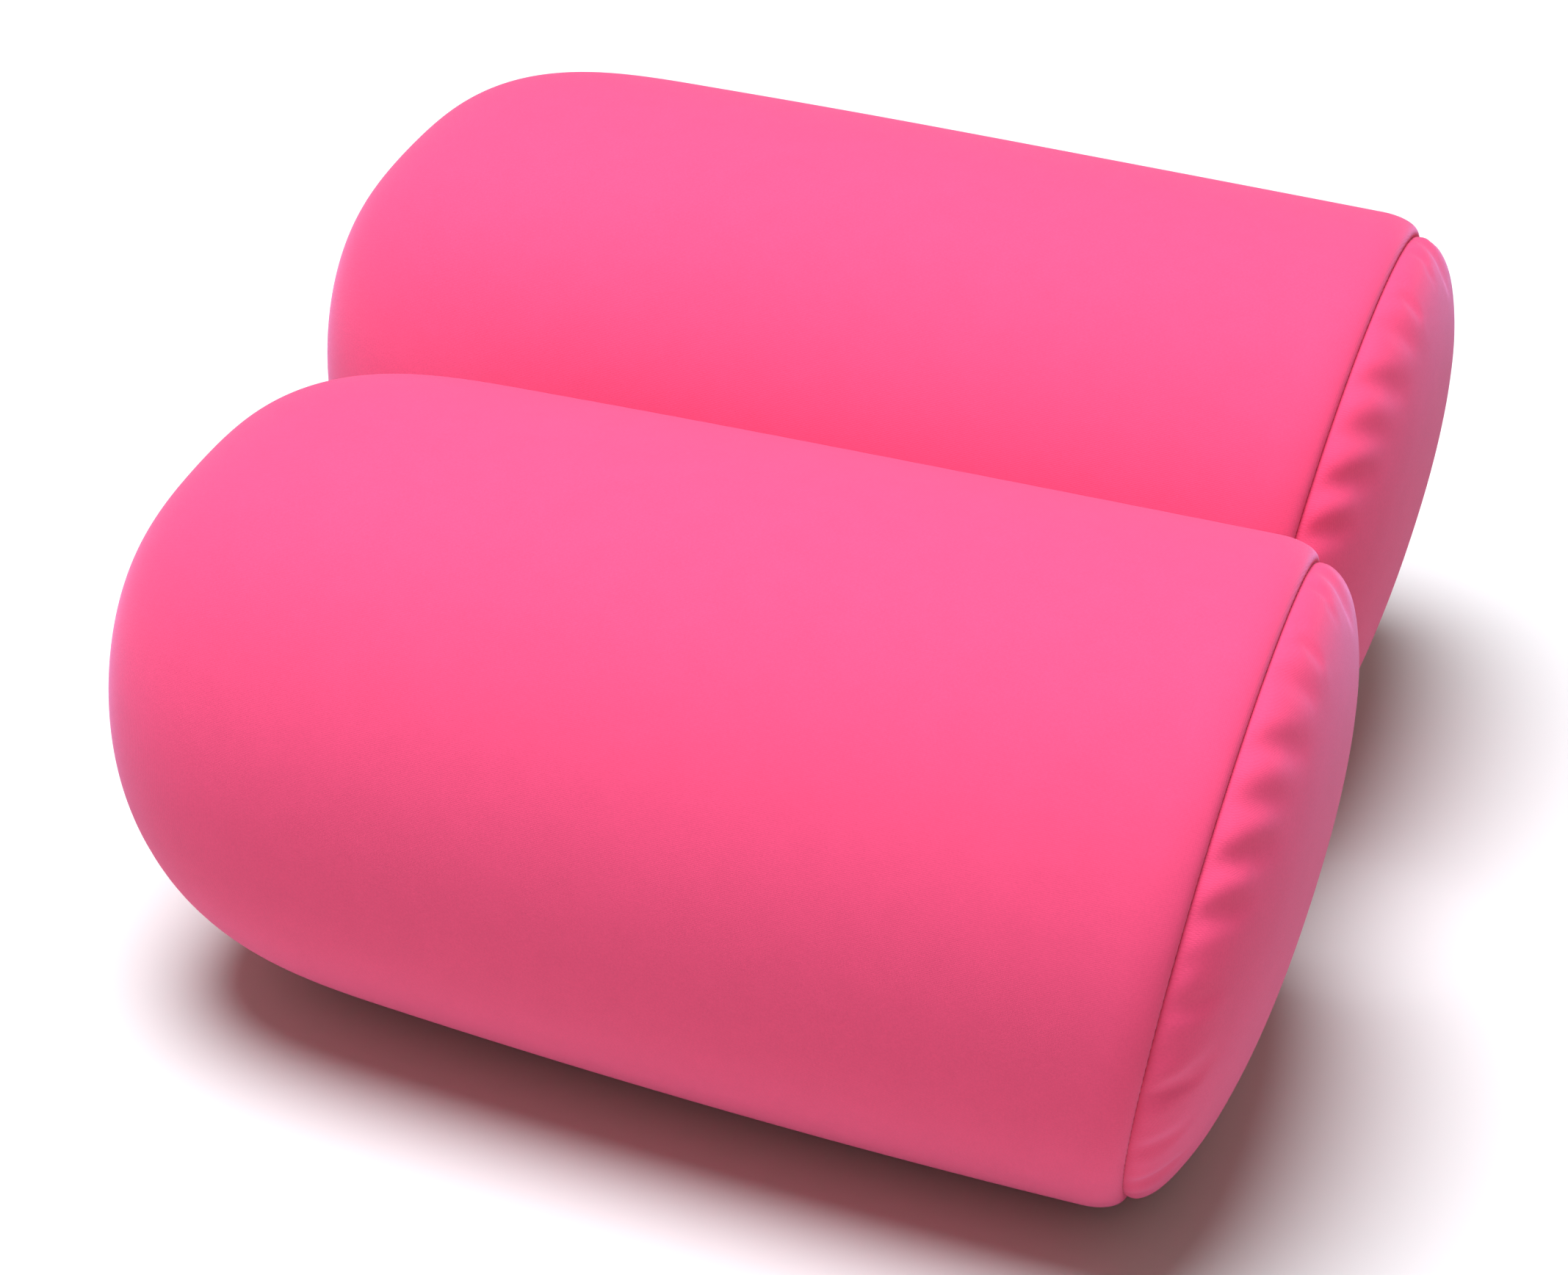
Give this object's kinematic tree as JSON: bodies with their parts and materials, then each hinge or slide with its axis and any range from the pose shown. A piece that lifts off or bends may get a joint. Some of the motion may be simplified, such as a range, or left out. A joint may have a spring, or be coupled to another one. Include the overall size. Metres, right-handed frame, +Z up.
{
  "type": "pair of bolster cushions",
  "caption": "Pair of cylindrical bolster cushions with a tight stretch cover, sewn-in round end panels, a zipped closing seam and a bead-filled liner.",
  "frame": {"origin": "on the surface that the pair rests on, under the middle of the pair's box", "axes": "+X along the bolsters, from their left ends to their right ends; +Y from the front bolster to the rear one; +Z up"},
  "size_m": [0.338, 0.3625, 0.173],
  "materials": {
    "cover_knit": "tight warp-knit nylon and elastane, soft satin sheen",
    "seam_thread": "overlocked polyester thread over the doubled cover edge",
    "label_satin": "woven satin, blank",
    "zip_tape": "woven polyester tape",
    "zip_coil": "dyed nylon monofilament coil",
    "zip_metal": "nickel-plated zinc, lightly rubbed",
    "liner_cloth": "close plain-woven polyester lining",
    "foam_beads": "expanded polystyrene microbeads"
  },
  "bodies": {
    "front_bolster": {"front_tube_panel": "cover_knit", "front_end_panel_left": "cover_knit", "front_end_panel_right": "cover_knit", "front_end_seam_left": "seam_thread", "front_end_seam_right": "seam_thread", "front_closing_seam": "seam_thread", "front_care_label": "label_satin", "front_zip_tape_upper": "zip_tape", "front_zip_tape_lower": "zip_tape", "front_zip_coil_upper": "zip_coil", "front_zip_coil_lower": "zip_coil", "front_zip_stops": "zip_metal", "front_liner_tube": "liner_cloth", "front_liner_end_left": "liner_cloth", "front_liner_end_right": "liner_cloth", "front_bead_fill": "foam_beads"},
    "rear_bolster": {"rear_tube_panel": "cover_knit", "rear_end_panel_left": "cover_knit", "rear_end_panel_right": "cover_knit", "rear_end_seam_left": "seam_thread", "rear_end_seam_right": "seam_thread", "rear_closing_seam": "seam_thread", "rear_care_label": "label_satin", "rear_zip_tape_upper": "zip_tape", "rear_zip_tape_lower": "zip_tape", "rear_zip_coil_upper": "zip_coil", "rear_zip_coil_lower": "zip_coil", "rear_zip_stops": "zip_metal", "rear_liner_tube": "liner_cloth", "rear_liner_end_left": "liner_cloth", "rear_liner_end_right": "liner_cloth", "rear_bead_fill": "foam_beads"},
    "front_slider": {"front_zip_slider": "zip_metal"},
    "front_pull": {"front_zip_pull": "zip_metal"},
    "rear_slider": {"rear_zip_slider": "zip_metal"},
    "rear_pull": {"rear_zip_pull": "zip_metal"}
  },
  "joints": [
    {"name": "rear_bolster_slide", "type": "slide", "parent": "front_bolster", "child": "rear_bolster", "axis": [0, 1, 0], "range_m": [0, 0.2]},
    {"name": "front_zip_slide", "type": "slide", "parent": "front_bolster", "child": "front_slider", "axis": [-1, 0, 0], "range_m": [0, 0.186]},
    {"name": "front_pull_swing", "type": "hinge", "parent": "front_slider", "child": "front_pull", "pos_m": [0.10402, -0.01401, 0.12914], "axis": [0, 0.5, -0.866], "range_deg": [0, 180]},
    {"name": "rear_zip_slide", "type": "slide", "parent": "rear_bolster", "child": "rear_slider", "axis": [-0.9997, 0.0262, 0], "range_m": [0, 0.186]},
    {"name": "rear_pull_swing", "type": "hinge", "parent": "rear_slider", "child": "rear_pull", "pos_m": [0.08403, 0.16653, 0.12914], "axis": [0.0131, 0.4998, -0.866], "range_deg": [0, 180]}
  ]
}
